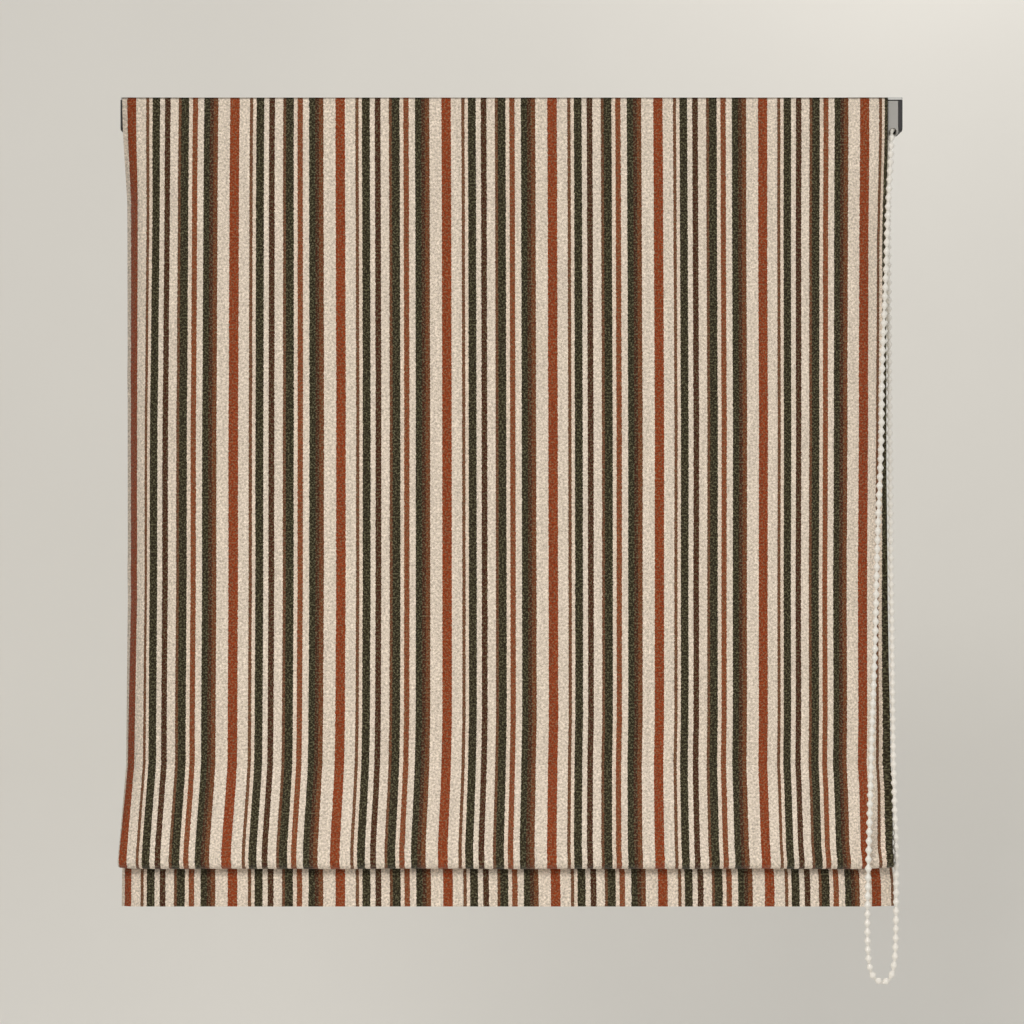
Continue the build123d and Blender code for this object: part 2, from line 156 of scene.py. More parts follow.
CREAM = (229, 214, 198)
PINK_CREAM = (230, 211, 193)
RUST = (139, 54, 12)
CHARCOAL = (40, 32, 12)
DARK_BROWN = (68, 30, 8)
THIN_BROWN = (110, 66, 42)
RUST_BROWN = (131, 66, 34)
BROWN_EDGE = (103, 61, 38)
LAST_BROWN = (108, 56, 26)
REPEAT = 0.0703
FIRST_STRIPE = -0.25765
# Where each stripe of a repeat starts, as a share of the repeat, and its colour
STRIPES = [
    (0.000, RUST),
    (0.087, CREAM),
    (0.186, THIN_BROWN),
    (0.215, PINK_CREAM),
    (0.249, CHARCOAL),
    (0.324, CREAM),
    (0.371, DARK_BROWN),
    (0.422, CREAM),
    (0.501, BROWN_EDGE),
    (0.528, CHARCOAL),
    (0.602, PINK_CREAM),
    (0.638, RUST_BROWN),
    (0.690, CREAM),
    (0.747, CHARCOAL),
    (0.806, DARK_BROWN),
    (0.842, LAST_BROWN),
    (0.883, CREAM),
]
SEAM_DROP = 0.4436
# Fine lines across the cloth: distance down it, half the width, and the shade in the middle. They
# are the stitches at the third rod's pocket, those under the top edge, and a painted shadow line
# along the top edge.
LINES_ACROSS = [
    (SEAM_DROP, 0.0009, 0.93),
    (0.0058, 0.0009, 0.92),
    # A painted shadow line along the cloth's top edge
    (0.0, 0.0014, 0.4),
]
WARP_PITCH = 0.00125
WEFT_PITCH = 0.00115


def striped_cloth():
    shader = Shader("striped_cloth")
    uv = shader.add("UVMap", uv_map="cloth").outputs[0]
    split = shader.add("SeparateXYZ", {0: uv})
    across, down = split.outputs[0], split.outputs[1]
    # The yarns wander a little, so a stripe's edge isn't a ruled line
    wander = shader.noise(uv, 620.0, 2.0, 0.7)
    edge = shader.math("MULTIPLY_ADD", wander, 0.0014, -0.0007)
    placed = shader.math("ADD", across, edge)
    repeats = shader.math("DIVIDE", shader.math("SUBTRACT", placed, FIRST_STRIPE), REPEAT)
    phase = shader.math("FRACT", repeats)
    ramp = shader.add("ValToRGB", {0: phase})
    ramp.color_ramp.interpolation = "CONSTANT"
    stops = ramp.color_ramp.elements
    while len(stops) < len(STRIPES):
        stops.new(0.5)
    for stop, (start, color) in zip(stops, STRIPES):
        stop.position = start
        stop.color = linear(*color)
    # Slubby yarn: fine grains, larger blots, and a slow change of tint from yarn to yarn
    grain = shader.noise(uv, 700.0, 1.5, 0.6)
    blots = shader.noise(uv, 210.0, 2.0, 0.6)
    stretched = shader.add("Mapping", {"Vector": uv, "Scale": (1.0, 0.06, 1.0)}).outputs[0]
    streak = shader.noise(stretched, 330.0, 2.0, 0.6)
    color = shader.times(ramp.outputs[0], shader.remap(grain, 0.3, 0.7, 0.66, 1.36))
    color = shader.times(color, shader.remap(blots, 0.3, 0.7, 0.93, 1.07))
    color = shader.times(color, shader.remap(streak, 0.3, 0.7, 0.92, 1.08))
    # Pale fibres of the weft show through the dark stripes
    moved = shader.add("Mapping", {"Vector": uv, "Location": (0.3, 0.7, 0.0)}).outputs[0]
    flecks = shader.noise(moved, 820.0, 1.0)
    color = shader.mixed(shader.remap(flecks, 0.475, 0.66, 0.0, 0.28), color, linear(172, 168, 130))
    # Darker lines across: the stitch rows, and a painted shadow line along the top edge
    for drop, half, shade in LINES_ACROSS:
        off = shader.math("ABSOLUTE", shader.math("SUBTRACT", down, drop))
        line = shader.remap(off, half * 0.35, half, shade, 1.0)
        color = shader.times(color, line)
    shader.plug("Base Color", color)
    # Weave: warp and weft cross as small cushions, roughened by the slubs
    warp = shader.math("SINE", shader.math("MULTIPLY", placed, 2 * math.pi / WARP_PITCH))
    weave = shader.math("SINE", shader.math("MULTIPLY", down, 2 * math.pi / WEFT_PITCH))
    crossing = shader.math("MULTIPLY", warp, weave)
    height = shader.math("MULTIPLY_ADD", crossing, 0.32, 0.5)
    height = shader.math("ADD", height, shader.math("MULTIPLY", grain, 1.15))
    shader.bump(height, 0.00042, 0.8)
    shader.set(roughness=0.93, sheen_weight=0.22, sheen_roughness=0.5, specular_ior_level=0.2)
    return shader.material


def woven(name, color, thread, roughness=0.85, depth=0.00012, slub=0.12, sheen=0.15):
    """A plain woven or braided fabric in one colour, by place, with threads of the given pitch."""
    shader = Shader(name)
    place = shader.add("NewGeometry").outputs["Position"]
    split = shader.add("SeparateXYZ", {0: place})
    x = shader.math("SINE", shader.math("MULTIPLY", split.outputs[0], 2 * math.pi / thread))
    z = shader.math("SINE", shader.math("MULTIPLY", split.outputs[2], 2 * math.pi / thread))
    cross = shader.math("MULTIPLY", x, z)
    slubs = shader.noise(place, 480.0, 3.0, 0.6)
    cloud = shader.noise(place, 22.0, 3.0, 0.5)
    tint = shader.times(linear(*color), shader.remap(slubs, 0.3, 0.7, 1 - slub, 1 + slub))
    tint = shader.times(tint, shader.remap(cloud, 0.3, 0.7, 0.95, 1.03))
    shader.plug("Base Color", tint)
    shader.bump(shader.math("ADD", cross, shader.math("MULTIPLY", slubs, 1.6)), depth, 0.7)
    shader.set(roughness=roughness, sheen_weight=sheen, specular_ior_level=0.25)
    return shader.material


def hard(
    name,
    color,
    roughness,
    metallic=0.0,
    grain=900.0,
    depth=0.00003,
    wear=0.05,
    stretch=(1, 1, 1),
    coat=0.0,
):
    """A moulded, coated or drawn surface: fine relief, uneven gloss and slight changes of tone."""
    shader = Shader(name)
    place = shader.add("NewGeometry").outputs["Position"]
    drawn = shader.add("Mapping", {"Vector": place, "Scale": stretch}).outputs[0]
    fine = shader.noise(drawn, grain, 3.0, 0.6)
    cloud = shader.noise(place, 26.0, 4.0, 0.6)
    tone = shader.remap(cloud, 0.3, 0.7, 1 - wear, 1 + wear * 0.6)
    shader.plug("Base Color", shader.times(linear(*color), tone))
    gloss = shader.remap(fine, 0.3, 0.7, roughness * 0.85, min(1.0, roughness * 1.18))
    shader.plug("Roughness", gloss)
    shader.bump(fine, depth, 0.6)
    shader.set(metallic=metallic, coat_weight=coat)
    return shader.material


FINE_DRAWN = (0.03, 1, 1)
materials = {
    "striped_cloth": striped_cloth(),
    "lining_cloth": woven("lining_cloth", (222, 214, 198), 0.0007),
    "tape": woven("tape", (228, 226, 218), 0.0009, depth=0.0003, slub=0.2, sheen=0.4),
    "cord": woven("cord", (226, 222, 208), 0.0006, depth=0.00015, slub=0.08),
    "painted_steel": hard("painted_steel", (205, 205, 202), 0.5, grain=700.0, depth=0.00004),
    "rail_white": hard("rail_white", (226, 226, 222), 0.38, grain=500.0, stretch=(0.05, 1, 1)),
    "dark_plastic": hard(
        "dark_plastic", (50, 49, 50), 0.52, grain=1500.0, depth=0.00005, wear=0.12
    ),
    "housing_grey": hard("housing_grey", (168, 166, 162), 0.46, grain=1400.0, depth=0.00003),
    "wheel_plastic": hard("wheel_plastic", (214, 212, 204), 0.4, grain=1100.0),
    "spool_plastic": hard("spool_plastic", (222, 220, 212), 0.42, grain=1000.0),
    "shaft_metal": hard(
        "shaft_metal", (200, 202, 204), 0.34, 1.0, 900.0, 0.00002, stretch=FINE_DRAWN
    ),
    "steel_bright": hard("steel_bright", (188, 188, 188), 0.3, 1.0, 1200.0, 0.00002),
    "rod_fibre": hard("rod_fibre", (222, 220, 208), 0.45, grain=1300.0, stretch=(0.04, 1, 1)),
    "ring_plastic": hard(
        "ring_plastic", (226, 224, 214), 0.24, grain=600.0, depth=0.00001, coat=0.2
    ),
    "bar_metal": hard("bar_metal", (196, 198, 200), 0.36, 1.0, 800.0, 0.00002, stretch=FINE_DRAWN),
    "chain_plastic": hard(
        "chain_plastic", (238, 234, 226), 0.3, grain=1600.0, depth=0.00002, wear=0.03, coat=0.1
    ),
}
for part in frame["record"]["subparts"]:
    node = frame["nodes"][part["node"]]
    node.data.materials.clear()
    node.data.materials.append(materials[part["material_slot"]])


def new_mesh(name, points, faces, slot, uv=None, sharp=40.0):
    mesh = bpy.data.meshes.new(name)
    mesh.from_pydata([tuple(p) for p in points], [], faces)
    mesh.update()
    if uv is not None:
        layer = mesh.uv_layers.new(name="cloth")
        corners = np.empty(len(mesh.loops), np.int32)
        mesh.loops.foreach_get("vertex_index", corners)
        layer.data.foreach_set("uv", np.asarray(uv, np.float32)[corners].ravel())
    mesh.polygons.foreach_set("use_smooth", [True] * len(mesh.polygons))
    mesh.set_sharp_from_angle(angle=math.radians(sharp))
    mesh.materials.append(materials[slot])
    piece = bpy.data.objects.new(name, mesh)
    bpy.context.collection.objects.link(piece)
    return piece


# Bead chain: one loop, from the top of the wheel down in front of the cloth, and up again behind
# that strand to the wheel's back

CHAIN_ROUTE_MM = [
    (253.2, -0.1, -6.261),
    (253.2, -7.15, -6.261),
    (253.2, -8.3, -21.5),
    (252.2, -12.4, -31.5),
    (250.8, -16.8, -47.0),
    (249.0, -17.4, -76.0),
    (248.0, -17.8, -112.0),
    (246.1, -18.4, -150.0),
    (244.7, -18.9, -190.0),
    (244.4, -20.0, -232.0),
    (241.9, -21.6, -276.0),
    (240.3, -24.0, -322.0),
    (238.9, -27.6, -368.0),
    (236.0, -32.4, -412.0),
    (234.4, -36.6, -456.0),
    (232.8, -38.2, -502.0),
    (232.2, -37.2, -540.0),
    (233.0, -34.8, -565.0),
    (235.0, -33.2, -576.4),
    (238.0, -31.8, -581.4),
    (242.2, -30.2, -584.2),
    (246.4, -28.4, -584.2),
    (249.4, -27.6, -581.2),
    (251.3, -27.2, -575.6),
    (252.4, -26.8, -565.8),
    (252.9, -26.6, -548.0),
    (253.1, -26.4, -520.0),
    (253.4, -22.2, -488.0),
    (253.2, -15.4, -444.0),
    (253.4, -11.0, -400.0),
    (253.5, -7.8, -354.0),
    (253.2, -5.0, -306.0),
    (253.3, -2.6, -256.0),
    (253.0, 0.0, -204.0),
    (253.2, 2.8, -152.0),
    (253.1, 5.2, -100.0),
    (253.2, 7.639, -52.0),
    (253.2, 7.639, -6.261),
    (253.2, 0.1, -6.261),
]
THREAD_RADIUS = 0.0006
BEADS = 197
# How far along the loop the first bead sits, as a share of the beads' pitch
FIRST_BEAD = 0.21
# Half a bead's outline above its middle, as radius and height
BEAD_MM = [(2.06, 0.55), (1.66, 1.3), (1.22, 1.95), (0.96, 2.42), (0.85, 2.9)]
BEAD_WAIST_MM = (2.23, 0.0)


def chain_curve(name, bevel):
    curve = bpy.data.curves.new(name, "CURVE")
    curve.dimensions = "3D"
    curve.resolution_u = 12
    curve.bevel_depth = bevel
    curve.bevel_resolution = 3
    spline = curve.splines.new("NURBS")
    spline.points.add(len(CHAIN_ROUTE_MM) - 1)
    for point, place in zip(spline.points, CHAIN_ROUTE_MM):
        point.co = (*mm(*place), 1.0)
    spline.order_u = 3
    spline.use_endpoint_u = True
    piece = bpy.data.objects.new(name, curve)
    bpy.context.collection.objects.link(piece)
    return piece


def curve_points(piece):
    """The points of a curve with no bevel, in order, as Blender itself draws it."""
    depsgraph = bpy.context.evaluated_depsgraph_get()
    mesh = bpy.data.meshes.new_from_object(piece.evaluated_get(depsgraph))
    points = np.array([v.co for v in mesh.vertices], float)
    bpy.data.meshes.remove(mesh)
    return points


def bead_mesh_parts():
    """A moulded bead: widest at its waist, and drawn in to a short neck at each end."""
    lower = [(radius, -height) for radius, height in reversed(BEAD_MM)]
    profile = lower + [BEAD_WAIST_MM] + BEAD_MM
    sides = 16
    points = []
    for radius, height in profile:
        for side in range(sides):
            turn = 2 * math.pi * side / sides
            points.append(mm(radius * math.cos(turn), radius * math.sin(turn), height))
    faces = []
    for row in range(len(profile) - 1):
        for side in range(sides):
            after = (side + 1) % sides
            a, b = row * sides, (row + 1) * sides
            faces.append((a + side, a + after, b + after, b + side))
    faces.append(tuple(reversed(range(sides))))
    faces.append(tuple(range((len(profile) - 1) * sides, len(profile) * sides)))
    return np.array(points), faces


def make_chain():
    guide = chain_curve("chain_guide", 0.0)
    bpy.context.view_layer.update()
    line = curve_points(guide)
    bpy.data.objects.remove(guide)
    runs = np.linalg.norm(np.diff(line, axis=0), axis=1)
    reach = np.concatenate([[0], np.cumsum(runs)])
    one, one_faces = bead_mesh_parts()
    points, faces = [], []
    for bead in range(BEADS):
        along = (bead + FIRST_BEAD) * reach[-1] / BEADS
        index = min(bisect_right(reach, along) - 1, len(runs) - 1)
        share = (along - reach[index]) / runs[index]
        place = line[index] + share * (line[index + 1] - line[index])
        way = Vector(line[index + 1] - line[index]).normalized()
        roll = Matrix.Rotation(random.uniform(0, 6.28), 3, "Z").to_quaternion()
        spin = np.array((way.to_track_quat("Z", "X") @ roll).to_matrix())
        size = 1 + random.uniform(-0.012, 0.012)
        start = len(points)
        points.extend(one @ spin.T * size + place)
        faces.extend(tuple(start + corner for corner in face) for face in one_faces)
    beads = new_mesh("fine_beads", points, faces, "chain_plastic", sharp=60.0)
    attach(beads, "head")
    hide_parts("chain_beads")
    thread = chain_curve("fine_thread", THREAD_RADIUS)
    thread.data.materials.append(materials["cord"])
    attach(thread, "head")
    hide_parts("chain_thread")


make_chain()


# Cloth: its back face as a line in (Y, Z) from the top down, then its shape across. Rows are
# distances down the flat cloth, and flat places are distances across it.

CLOTH_LINE_MM = [
    (-12.5, -0.5),
    (-12.5, -26.4),
    (-9.4, -90.0),
    (-7.5, -183.6),
    (-6.8, -313.6),
    (-6.5, -443.6),
    (-33.7, -508.6),
    (-24.2, -508.6),
    (-6.08, -455.88),
    (-1.92, -457.31),
    (-21.95, -515.6),
    (-23.15, -535.6),
]
CORNER_RADII_MM = [60.0, 600.0, 2000.0, 2000.0, 9.0, 4.08, 4.08, 2.19, 2.19, 10.0]
CLOTH_THICKNESS_MM = 1.3
# The lining's front and back faces, behind the cloth's back face
LINING_MM = (0.2, 0.8)
LINING_TOP_ROW = 5.5
LEFT_EDGE, RIGHT_EDGE = -260.1, 254.6
SIDE_MARGIN = 4.0
CLOTH_SPAN = (LEFT_EDGE, RIGHT_EDGE)
LINING_SPAN = (LEFT_EDGE + SIDE_MARGIN, RIGHT_EDGE - SIDE_MARGIN)
TOP_GAP = 0.5
RAIL_FOOT = 26.5
THIRD_ROD_DROP = 443.6
RODS_MM = (-183.6, -313.6, -THIRD_ROD_DROP)

# How far across sixteen places of the cloth's front lie, as hung, at some rows. The places are its
# edges, the stripes near them, and the left edge of each wide rust stripe.
PLACES_MM = [
    -260.1, -257.65, -251.5, -240.0, -222.1, -187.35, -117.05, -46.75,
    23.55, 93.85, 164.15, 234.45, 240.6, 249.5, 252.05, 254.6,
]
HUNG_MM = {
    8: [
        -258.5, -255.1, -249.4, -238.3, -220.9, -186.8, -117.0, -46.7,
        23.6, 93.9, 163.5, 231.2, 237.2, 245.6, 247.6, 249.7,
    ],
    68: [
        -257.0, -254.0, -249.0, -238.7, -221.8, -187.6, -117.0, -46.5,
        23.9, 94.4, 163.8, 231.2, 237.3, 245.3, 247.1, 249.6,
    ],
    214: [
        -257.2, -254.6, -249.9, -240.9, -223.2, -188.6, -116.8, -46.3,
        24.3, 95.3, 164.7, 231.1, 237.4, 244.6, 247.9, 250.5,
    ],
    334: [
        -257.2, -254.6, -250.0, -241.3, -223.5, -188.8, -117.0, -46.2,
        24.6, 95.3, 164.6, 230.6, 236.8, 244.5, 247.1, 251.4,
    ],
    413: [
        -257.9, -256.3, -251.4, -241.8, -224.2, -189.2, -117.5, -46.2,
        24.7, 95.3, 164.7, 230.9, 236.9, 244.9, 247.5, 252.9,
    ],
    461: [
        -257.8, -256.7, -252.0, -242.2, -224.3, -189.6, -118.3, -47.2,
        23.9, 94.4, 164.2, 230.5, 236.4, 244.5, 247.1, 253.2,
    ],
    500: [
        -258.2, -257.7, -252.5, -242.5, -224.7, -190.5, -119.2, -48.5,
        23.1, 93.9, 163.7, 229.1, 233.5, 241.9, 245.3, 250.3,
    ],
    645: [
        -257.5, -255.4, -251.0, -240.5, -222.5, -187.2, -116.1, -45.1,
        25.8, 96.5, 166.9, 237.4, 243.6, 252.4, 252.9, 252.6,
    ],
}
# How far each very edge turns back at some rows, in radians: less where a rod holds it
LEFT_TURNS = [
    (0, 0.0), (25, 0.1), (68, 1.1), (170, 1.05), (184, 0.85), (200, 1.05), (300, 1.05),
    (314, 0.85), (330, 1.05), (413, 0.95), (444, 0.6), (470, 0.45), (496, 0.3), (508, 0.1),
    (600, 0.2), (640, 0.45), (660, 0.4),
]
RIGHT_TURNS = [
    (0, 0.0), (36, 0.0), (100, 0.48), (184, 0.34), (250, 0.48), (314, 0.34), (380, 0.42),
    (444, 0.2), (480, 0.12), (512, 0.06), (600, 0.3), (660, 0.45),
]
# Each side edge's place and sign, how far in from it the curl starts, and its turns
CURLS = [
    (LEFT_EDGE, -1, 15.0, LEFT_TURNS),
    (RIGHT_EDGE, 1, 28.0, RIGHT_TURNS),
]
# Within this distance of a side edge, the mesh's columns are close together
EDGE_ZONE = 15.0
# Layers inside the fold are narrower by this share, so that they don't show beside it. The inset
# ends between two rows, where the flap comes out below the fold.
HIDDEN_INSET = 0.013
INSET_END = (615, 628)


@lru_cache(maxsize=None)
def edge_turns(row):
    """Each side edge's turn at a row."""
    return [float(np.interp(row, *zip(*turns))) for *_, turns in CURLS]


@lru_cache(maxsize=None)
def hung_places(row):
    """Where the places of PLACES_MM hang at a row."""
    downs = list(HUNG_MM)
    hidden = smooth(row, foot_row - 3, foot_row + 9) * (1 - smooth(row, *INSET_END))
    found = [np.interp(row, downs, column) for column in zip(*HUNG_MM.values())]
    return np.array(found) * (1 - HIDDEN_INSET * hidden)


class ClothLine:
    """The cloth's section as straight runs and arcs, with the rows that a mesh of it needs."""

    # The longest step between two rows
    LONGEST = 3.0

    def __init__(self, points, radii):
        points = [np.array(p, float) for p in points]
        ways = [(b - a) / np.linalg.norm(b - a) for a, b in zip(points, points[1:])]
        self.samples = []
        self.corners = []
        self.add(points[0], ways[0])
        for corner, radius, before, after in zip(points[1:], radii, ways, ways[1:]):
            turn = math.atan2(before[0] * after[1] - before[1] * after[0], before @ after)
            reach = radius * math.tan(abs(turn) / 2)
            side = np.array([-before[1], before[0]]) * math.copysign(1, turn)
            start = corner - before * reach
            centre = start + side * radius
            steps = max(2, math.ceil(abs(turn) / math.radians(9)))
            for step in range(steps + 1):
                angle = turn * step / steps
                c, s = math.cos(angle), math.sin(angle)
                spin = np.array([[c, -s], [s, c]])
                self.add(centre + spin @ (start - centre), spin @ before)
            self.corners.append((self.down[-steps - 1], self.down[-1]))
        self.add(points[-1], ways[-1])
        self.length = self.down[-1]

    def add(self, place, way):
        if self.samples:
            _, there, old_way = self.samples[-1]
            gap = np.linalg.norm(place - there)
            if gap < 1e-6:
                return
            steps = max(1, math.ceil(gap / self.LONGEST))
            for step in range(1, steps + 1):
                share = step / steps
                mixed = old_way + share * (way - old_way)
                mixed /= np.linalg.norm(mixed)
                row = self.samples[-1][0] + gap / steps
                self.samples.append((row, there + share * (place - there), mixed))
        else:
            self.samples.append((0.0, place, way))
        self.down = [sample[0] for sample in self.samples]

    def rows(self, start, end, extra=()):
        inside = [row for row in self.down if start + 0.4 < row < end - 0.4]
        more = [row for row in extra if start < row < end]
        return sorted({start, end, *inside, *more})

    def at(self, row):
        index = min(max(bisect_right(self.down, row) - 1, 0), len(self.samples) - 2)
        low, high = self.samples[index], self.samples[index + 1]
        share = (row - low[0]) / (high[0] - low[0])
        place = low[1] + share * (high[1] - low[1])
        way = low[2] + share * (high[2] - low[2])
        way /= np.linalg.norm(way)
        return place, np.array([way[1], -way[0]])


cloth_line = ClothLine(CLOTH_LINE_MM, CORNER_RADII_MM)
seam_row = sum(cloth_line.corners[4]) / 2
fold_row = cloth_line.corners[6][1] + 1.0
turn_row = cloth_line.corners[7][0] - 1.0
foot_row = (cloth_line.corners[5][1] + cloth_line.corners[6][0]) / 2
rod_rows = [-z - TOP_GAP + 0.1 for z in RODS_MM[:2]] + [seam_row]
head_row = RAIL_FOOT - TOP_GAP


def smooth(value, low, high):
    share = min(max((value - low) / (high - low), 0.0), 1.0)
    return share * share * (3 - 2 * share)


def across(flat, row):
    """How far to the right a point of the cloth's front lies, from its place in the flat cloth."""
    return float(np.interp(flat, PLACES_MM, hung_places(row)))


def ripple(flat, row):
    """Soft upright waves of the hanging cloth, forwards only, and flatter where a rod holds it."""
    wave = math.sin(flat / 17.5 + 0.8 + row * 0.0015)
    wave += 0.6 * math.sin(flat / 9.3 + 2.1 - row * 0.002)
    wave = 0.5 * (wave + 0.5 * math.sin(flat / 31 + 0.3))
    amount = 1.1 * min(1.0, max(0.0, (row - 24) / 120))
    near = min(abs(row - rod) for rod in rod_rows)
    amount *= 1 - 0.6 * math.exp(-((near / 26) ** 2))
    if row > seam_row:
        amount *= max(0.25, 1 - (row - seam_row) / 120)
    return amount * (0.55 + 0.45 * wave)


def pucker(flat, row):
    """Small gathers that the seam at the third rod pulls into the cloth."""
    near = math.exp(-(((row - seam_row) / 7.0) ** 2))
    gather = math.sin(flat / 2.9 + 1.3 * math.sin(flat / 21)) + 0.6 * math.sin(flat / 1.7)
    return 0.1 * near * gather


def cloth_point(flat, row, offset):
    """A point of the cloth in mm. offset is how far in front of the cloth's back face it lies."""
    (y, z), normal = cloth_line.at(row)
    x = across(flat, row)
    out = offset + ripple(flat, row)
    for (edge, side, start, _), turn in zip(CURLS, edge_turns(row)):
        inside = start - abs(flat - edge)
        if inside > 0 and turn > 0.01:
            angle = inside / start * turn
            x += side * (offset - CLOTH_THICKNESS_MM) * math.sin(angle)
            out += offset * (math.cos(angle) - 1) - start / turn * (1 - math.cos(angle))
    return np.array([x, y + normal[0] * out, z + normal[1] * out])


def columns(start, end, step, fine):
    """Places across the cloth, closer together near its side edges."""
    edge = [i * fine for i in range(int(EDGE_ZONE / fine) + 1)]
    left = [start + place for place in edge]
    right = [end - place for place in edge]
    count = math.ceil((right[-1] - left[-1]) / step)
    between = [left[-1] + (right[-1] - left[-1]) * i / count for i in range(1, count)]
    return left + between + right[::-1]


def cloth_sheet(name, slot, start, end, span, layers, step, fine, relief=None):
    """A closed sheet between two rows of the cloth line. layers are its front and back offsets."""
    rows = cloth_line.rows(start, end, fine_rows)
    places = columns(*span, step, fine)
    front, back = layers
    points, uv = [], []
    for offset, is_front in ((front, True), (back, False)):
        for row in rows:
            for flat in places:
                raised = relief(flat, row) if relief and is_front else 0
                points.append(cloth_point(flat, row, offset + raised) * 0.001)
                uv.append((flat * 0.001, row * 0.001))
    wide, tall = len(places), len(rows)
    half = wide * tall
    faces = []
    for i in range(tall - 1):
        for j in range(wide - 1):
            a = i * wide + j
            faces.append((a, a + wide, a + wide + 1, a + 1))
            a += half
            faces.append((a, a + 1, a + wide + 1, a + wide))
    for i in range(tall - 1):
        a, b = i * wide, i * wide + wide - 1
        faces.append((a, a + half, a + half + wide, a + wide))
        faces.append((b, b + wide, b + half + wide, b + half))
    for j in range(wide - 1):
        a, b = j, (tall - 1) * wide + j
        faces.append((a, a + 1, a + half + 1, a + half))
        faces.append((b, b + half, b + half + 1, b + 1))
    return new_mesh(name, points, faces, slot, uv)


def seam_relief(flat, row):
    """The stitches sink into the cloth, and the seam gathers it."""
    sunk = -0.2 * math.exp(-(((row - seam_row) / 0.9) ** 2))
    sunk -= 0.22 * math.exp(-(((row - 5.8) / 0.8) ** 2))
    return sunk + pucker(flat, row)


# Rows that the stitches need at the third rod and under the top edge
fine_rows = [seam_row + step for step in (-6, -4, -2.6, -1.6, -0.8, 0.8, 1.6, 2.6, 4, 6)]
fine_rows += [4.2, 5.0, 5.8, 6.6, 7.4]
leg_foot = cloth_line.at(fold_row)[0]
leg_top = cloth_line.at(turn_row)[0]


def whole_cloth(stem, slot, span, layers, step, fine, node, top_row, relief=None):
    """One hanging sheet in five pieces, each but the cloth's leg riding on the body that holds it.
    """
    spans = [
        ("head", top_row, head_row),
        ("panel", head_row, seam_row),
        ("fold", seam_row, fold_row),
        ("leg", fold_row, turn_row),
        ("flap", turn_row, cloth_line.length),
    ]
    for part, start, end in spans:
        name = f"{stem}_{part}"
        piece = cloth_sheet(name, slot, start, end, span, layers, step, fine, relief)
        if part in ("head", "panel"):
            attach(piece, "head")
            if part == "panel":
                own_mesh(piece)
        elif part == "fold" or (stem, part) == ("lining", "leg"):
            # The lining's leg stays in the fold, so that the cloth shows when the fold opens
            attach(piece, "rod_3")
        elif part == "leg":
            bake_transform(piece)
        else:
            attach(piece, "rod_4")
        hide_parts(node)


whole_cloth(
    stem="cloth",
    slot="striped_cloth",
    span=CLOTH_SPAN,
    layers=(CLOTH_THICKNESS_MM, 0.0),
    step=2.4,
    fine=1.0,
    node="face_cloth",
    top_row=0.0,
    relief=seam_relief,
)
whole_cloth(
    stem="lining",
    slot="lining_cloth",
    span=LINING_SPAN,
    layers=(-LINING_MM[0], -LINING_MM[1]),
    step=4.0,
    fine=1.5,
    node="lining",
    top_row=LINING_TOP_ROW,
)


# Sewn pockets, tapes and cords behind the cloth

STITCH_PITCH = 3.2
SEWN_PITCH = 3.0
# A stitch's lozenge: half its length, the corners round its middle, and its faces
STITCH_REACH = 1.05
STITCH_MIDDLE_MM = [(0, 0.2, 0), (0, -0.2, 0), (0, 0, 0.2), (0, 0, -0.2)]
STITCH_FACES = [
    (0, 2, 4), (0, 4, 3), (0, 3, 5), (0, 5, 2), (1, 4, 2), (1, 3, 4), (1, 5, 3), (1, 2, 5),
]


def box_mm(node):
    low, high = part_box(node)
    return np.array(low) * 1000, np.array(high) * 1000


def ring_faces(count, sides, closed):
    faces = []
    for ring in range(count if closed else count - 1):
        a, b = ring * sides, (ring + 1) % count * sides
        for side in range(sides):
            after = (side + 1) % sides
            faces.append((a + side, b + side, b + after, a + after))
    if not closed:
        faces.append(tuple(range(sides)))
        faces.append(tuple(range((count - 1) * sides, count * sides))[::-1])
    return faces


def oblong(half_thick, half_wide, power, turn):
    """A point of a rounded oblong's outline, at an angle round it."""
    c, s = math.cos(turn), math.sin(turn)
    thick = half_thick * math.copysign(abs(c) ** power, c)
    return thick, half_wide * math.copysign(abs(s) ** power, s)


def stitches(x_ends, y, z, up):
    """Small stitches in a row along X, each a flat lozenge of thread that leans a little."""
    points, faces = [], []
    for count in range(int((x_ends[1] - x_ends[0]) / STITCH_PITCH)):
        x = x_ends[0] + (count + 0.5) * STITCH_PITCH + random.uniform(-0.15, 0.15)
        start = len(points)
        lean = random.uniform(-0.12, 0.12)
        ends = [(-STITCH_REACH, 0, -lean), (STITCH_REACH, 0, lean)]
        for dx, dy, dz in ends + STITCH_MIDDLE_MM:
            points.append(mm(x + dx, y + dy, z + dz + up))
        faces.extend(tuple(start + corner for corner in face) for face in STITCH_FACES)
    return points, faces


